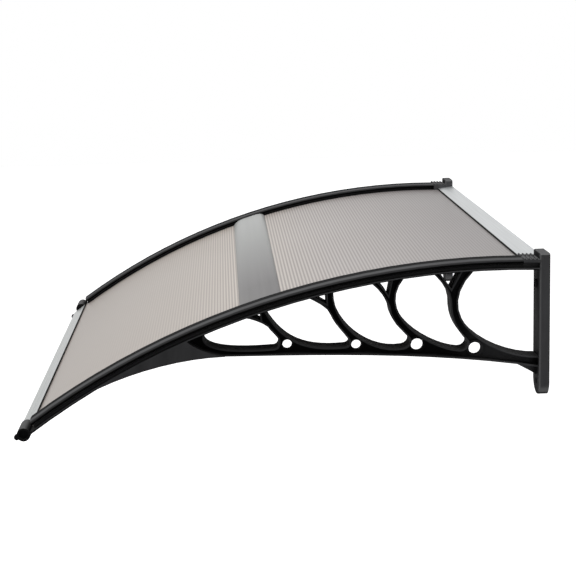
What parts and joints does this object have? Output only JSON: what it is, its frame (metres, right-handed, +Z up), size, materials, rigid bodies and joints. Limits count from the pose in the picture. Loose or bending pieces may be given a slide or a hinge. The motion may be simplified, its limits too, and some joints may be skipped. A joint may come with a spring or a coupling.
{
  "type": "door canopy",
  "caption": "Arched door canopy: hollow polycarbonate sheet with aluminium edge profiles on black openwork brackets with wall plates.",
  "frame": {"origin": "on the wall plane, at the middle of the rear aluminium profile's wall flange", "axes": "+X along the wall to the right as seen from outside, +Y into the wall, +Z up"},
  "size_m": [1, 0.806, 0.2687],
  "materials": {
    "bracket_plastic": "moulded black plastic with a faint grain",
    "strip_plastic": "extruded black plastic, smooth satin",
    "sheet_polycarbonate": "translucent pale bronze hollow sheet, fluted inside",
    "joint_polycarbonate": "translucent pale grey, smooth",
    "profile_aluminium": "natural anodised, lengthwise grain",
    "seal_rubber": "black, matt",
    "screw_steel": "zinc plated"
  },
  "bodies": {
    "root": {"right_bracket": "bracket_plastic", "left_bracket": "bracket_plastic", "right_press_strip": "strip_plastic", "left_press_strip": "strip_plastic", "right_cover_strip": "strip_plastic", "left_cover_strip": "strip_plastic", "right_sheet_gasket": "seal_rubber", "left_sheet_gasket": "seal_rubber", "right_strip_screw_1": "screw_steel", "right_strip_screw_2": "screw_steel", "right_strip_screw_3": "screw_steel", "right_strip_screw_4": "screw_steel", "right_strip_screw_5": "screw_steel", "left_strip_screw_1": "screw_steel", "left_strip_screw_2": "screw_steel", "left_strip_screw_3": "screw_steel", "left_strip_screw_4": "screw_steel", "left_strip_screw_5": "screw_steel", "rear_panel": "sheet_polycarbonate", "front_panel": "sheet_polycarbonate", "centre_joint_profile": "joint_polycarbonate", "rear_profile": "profile_aluminium", "rear_seal": "seal_rubber", "front_profile": "profile_aluminium", "front_seal": "seal_rubber"}
  },
  "joints": []
}
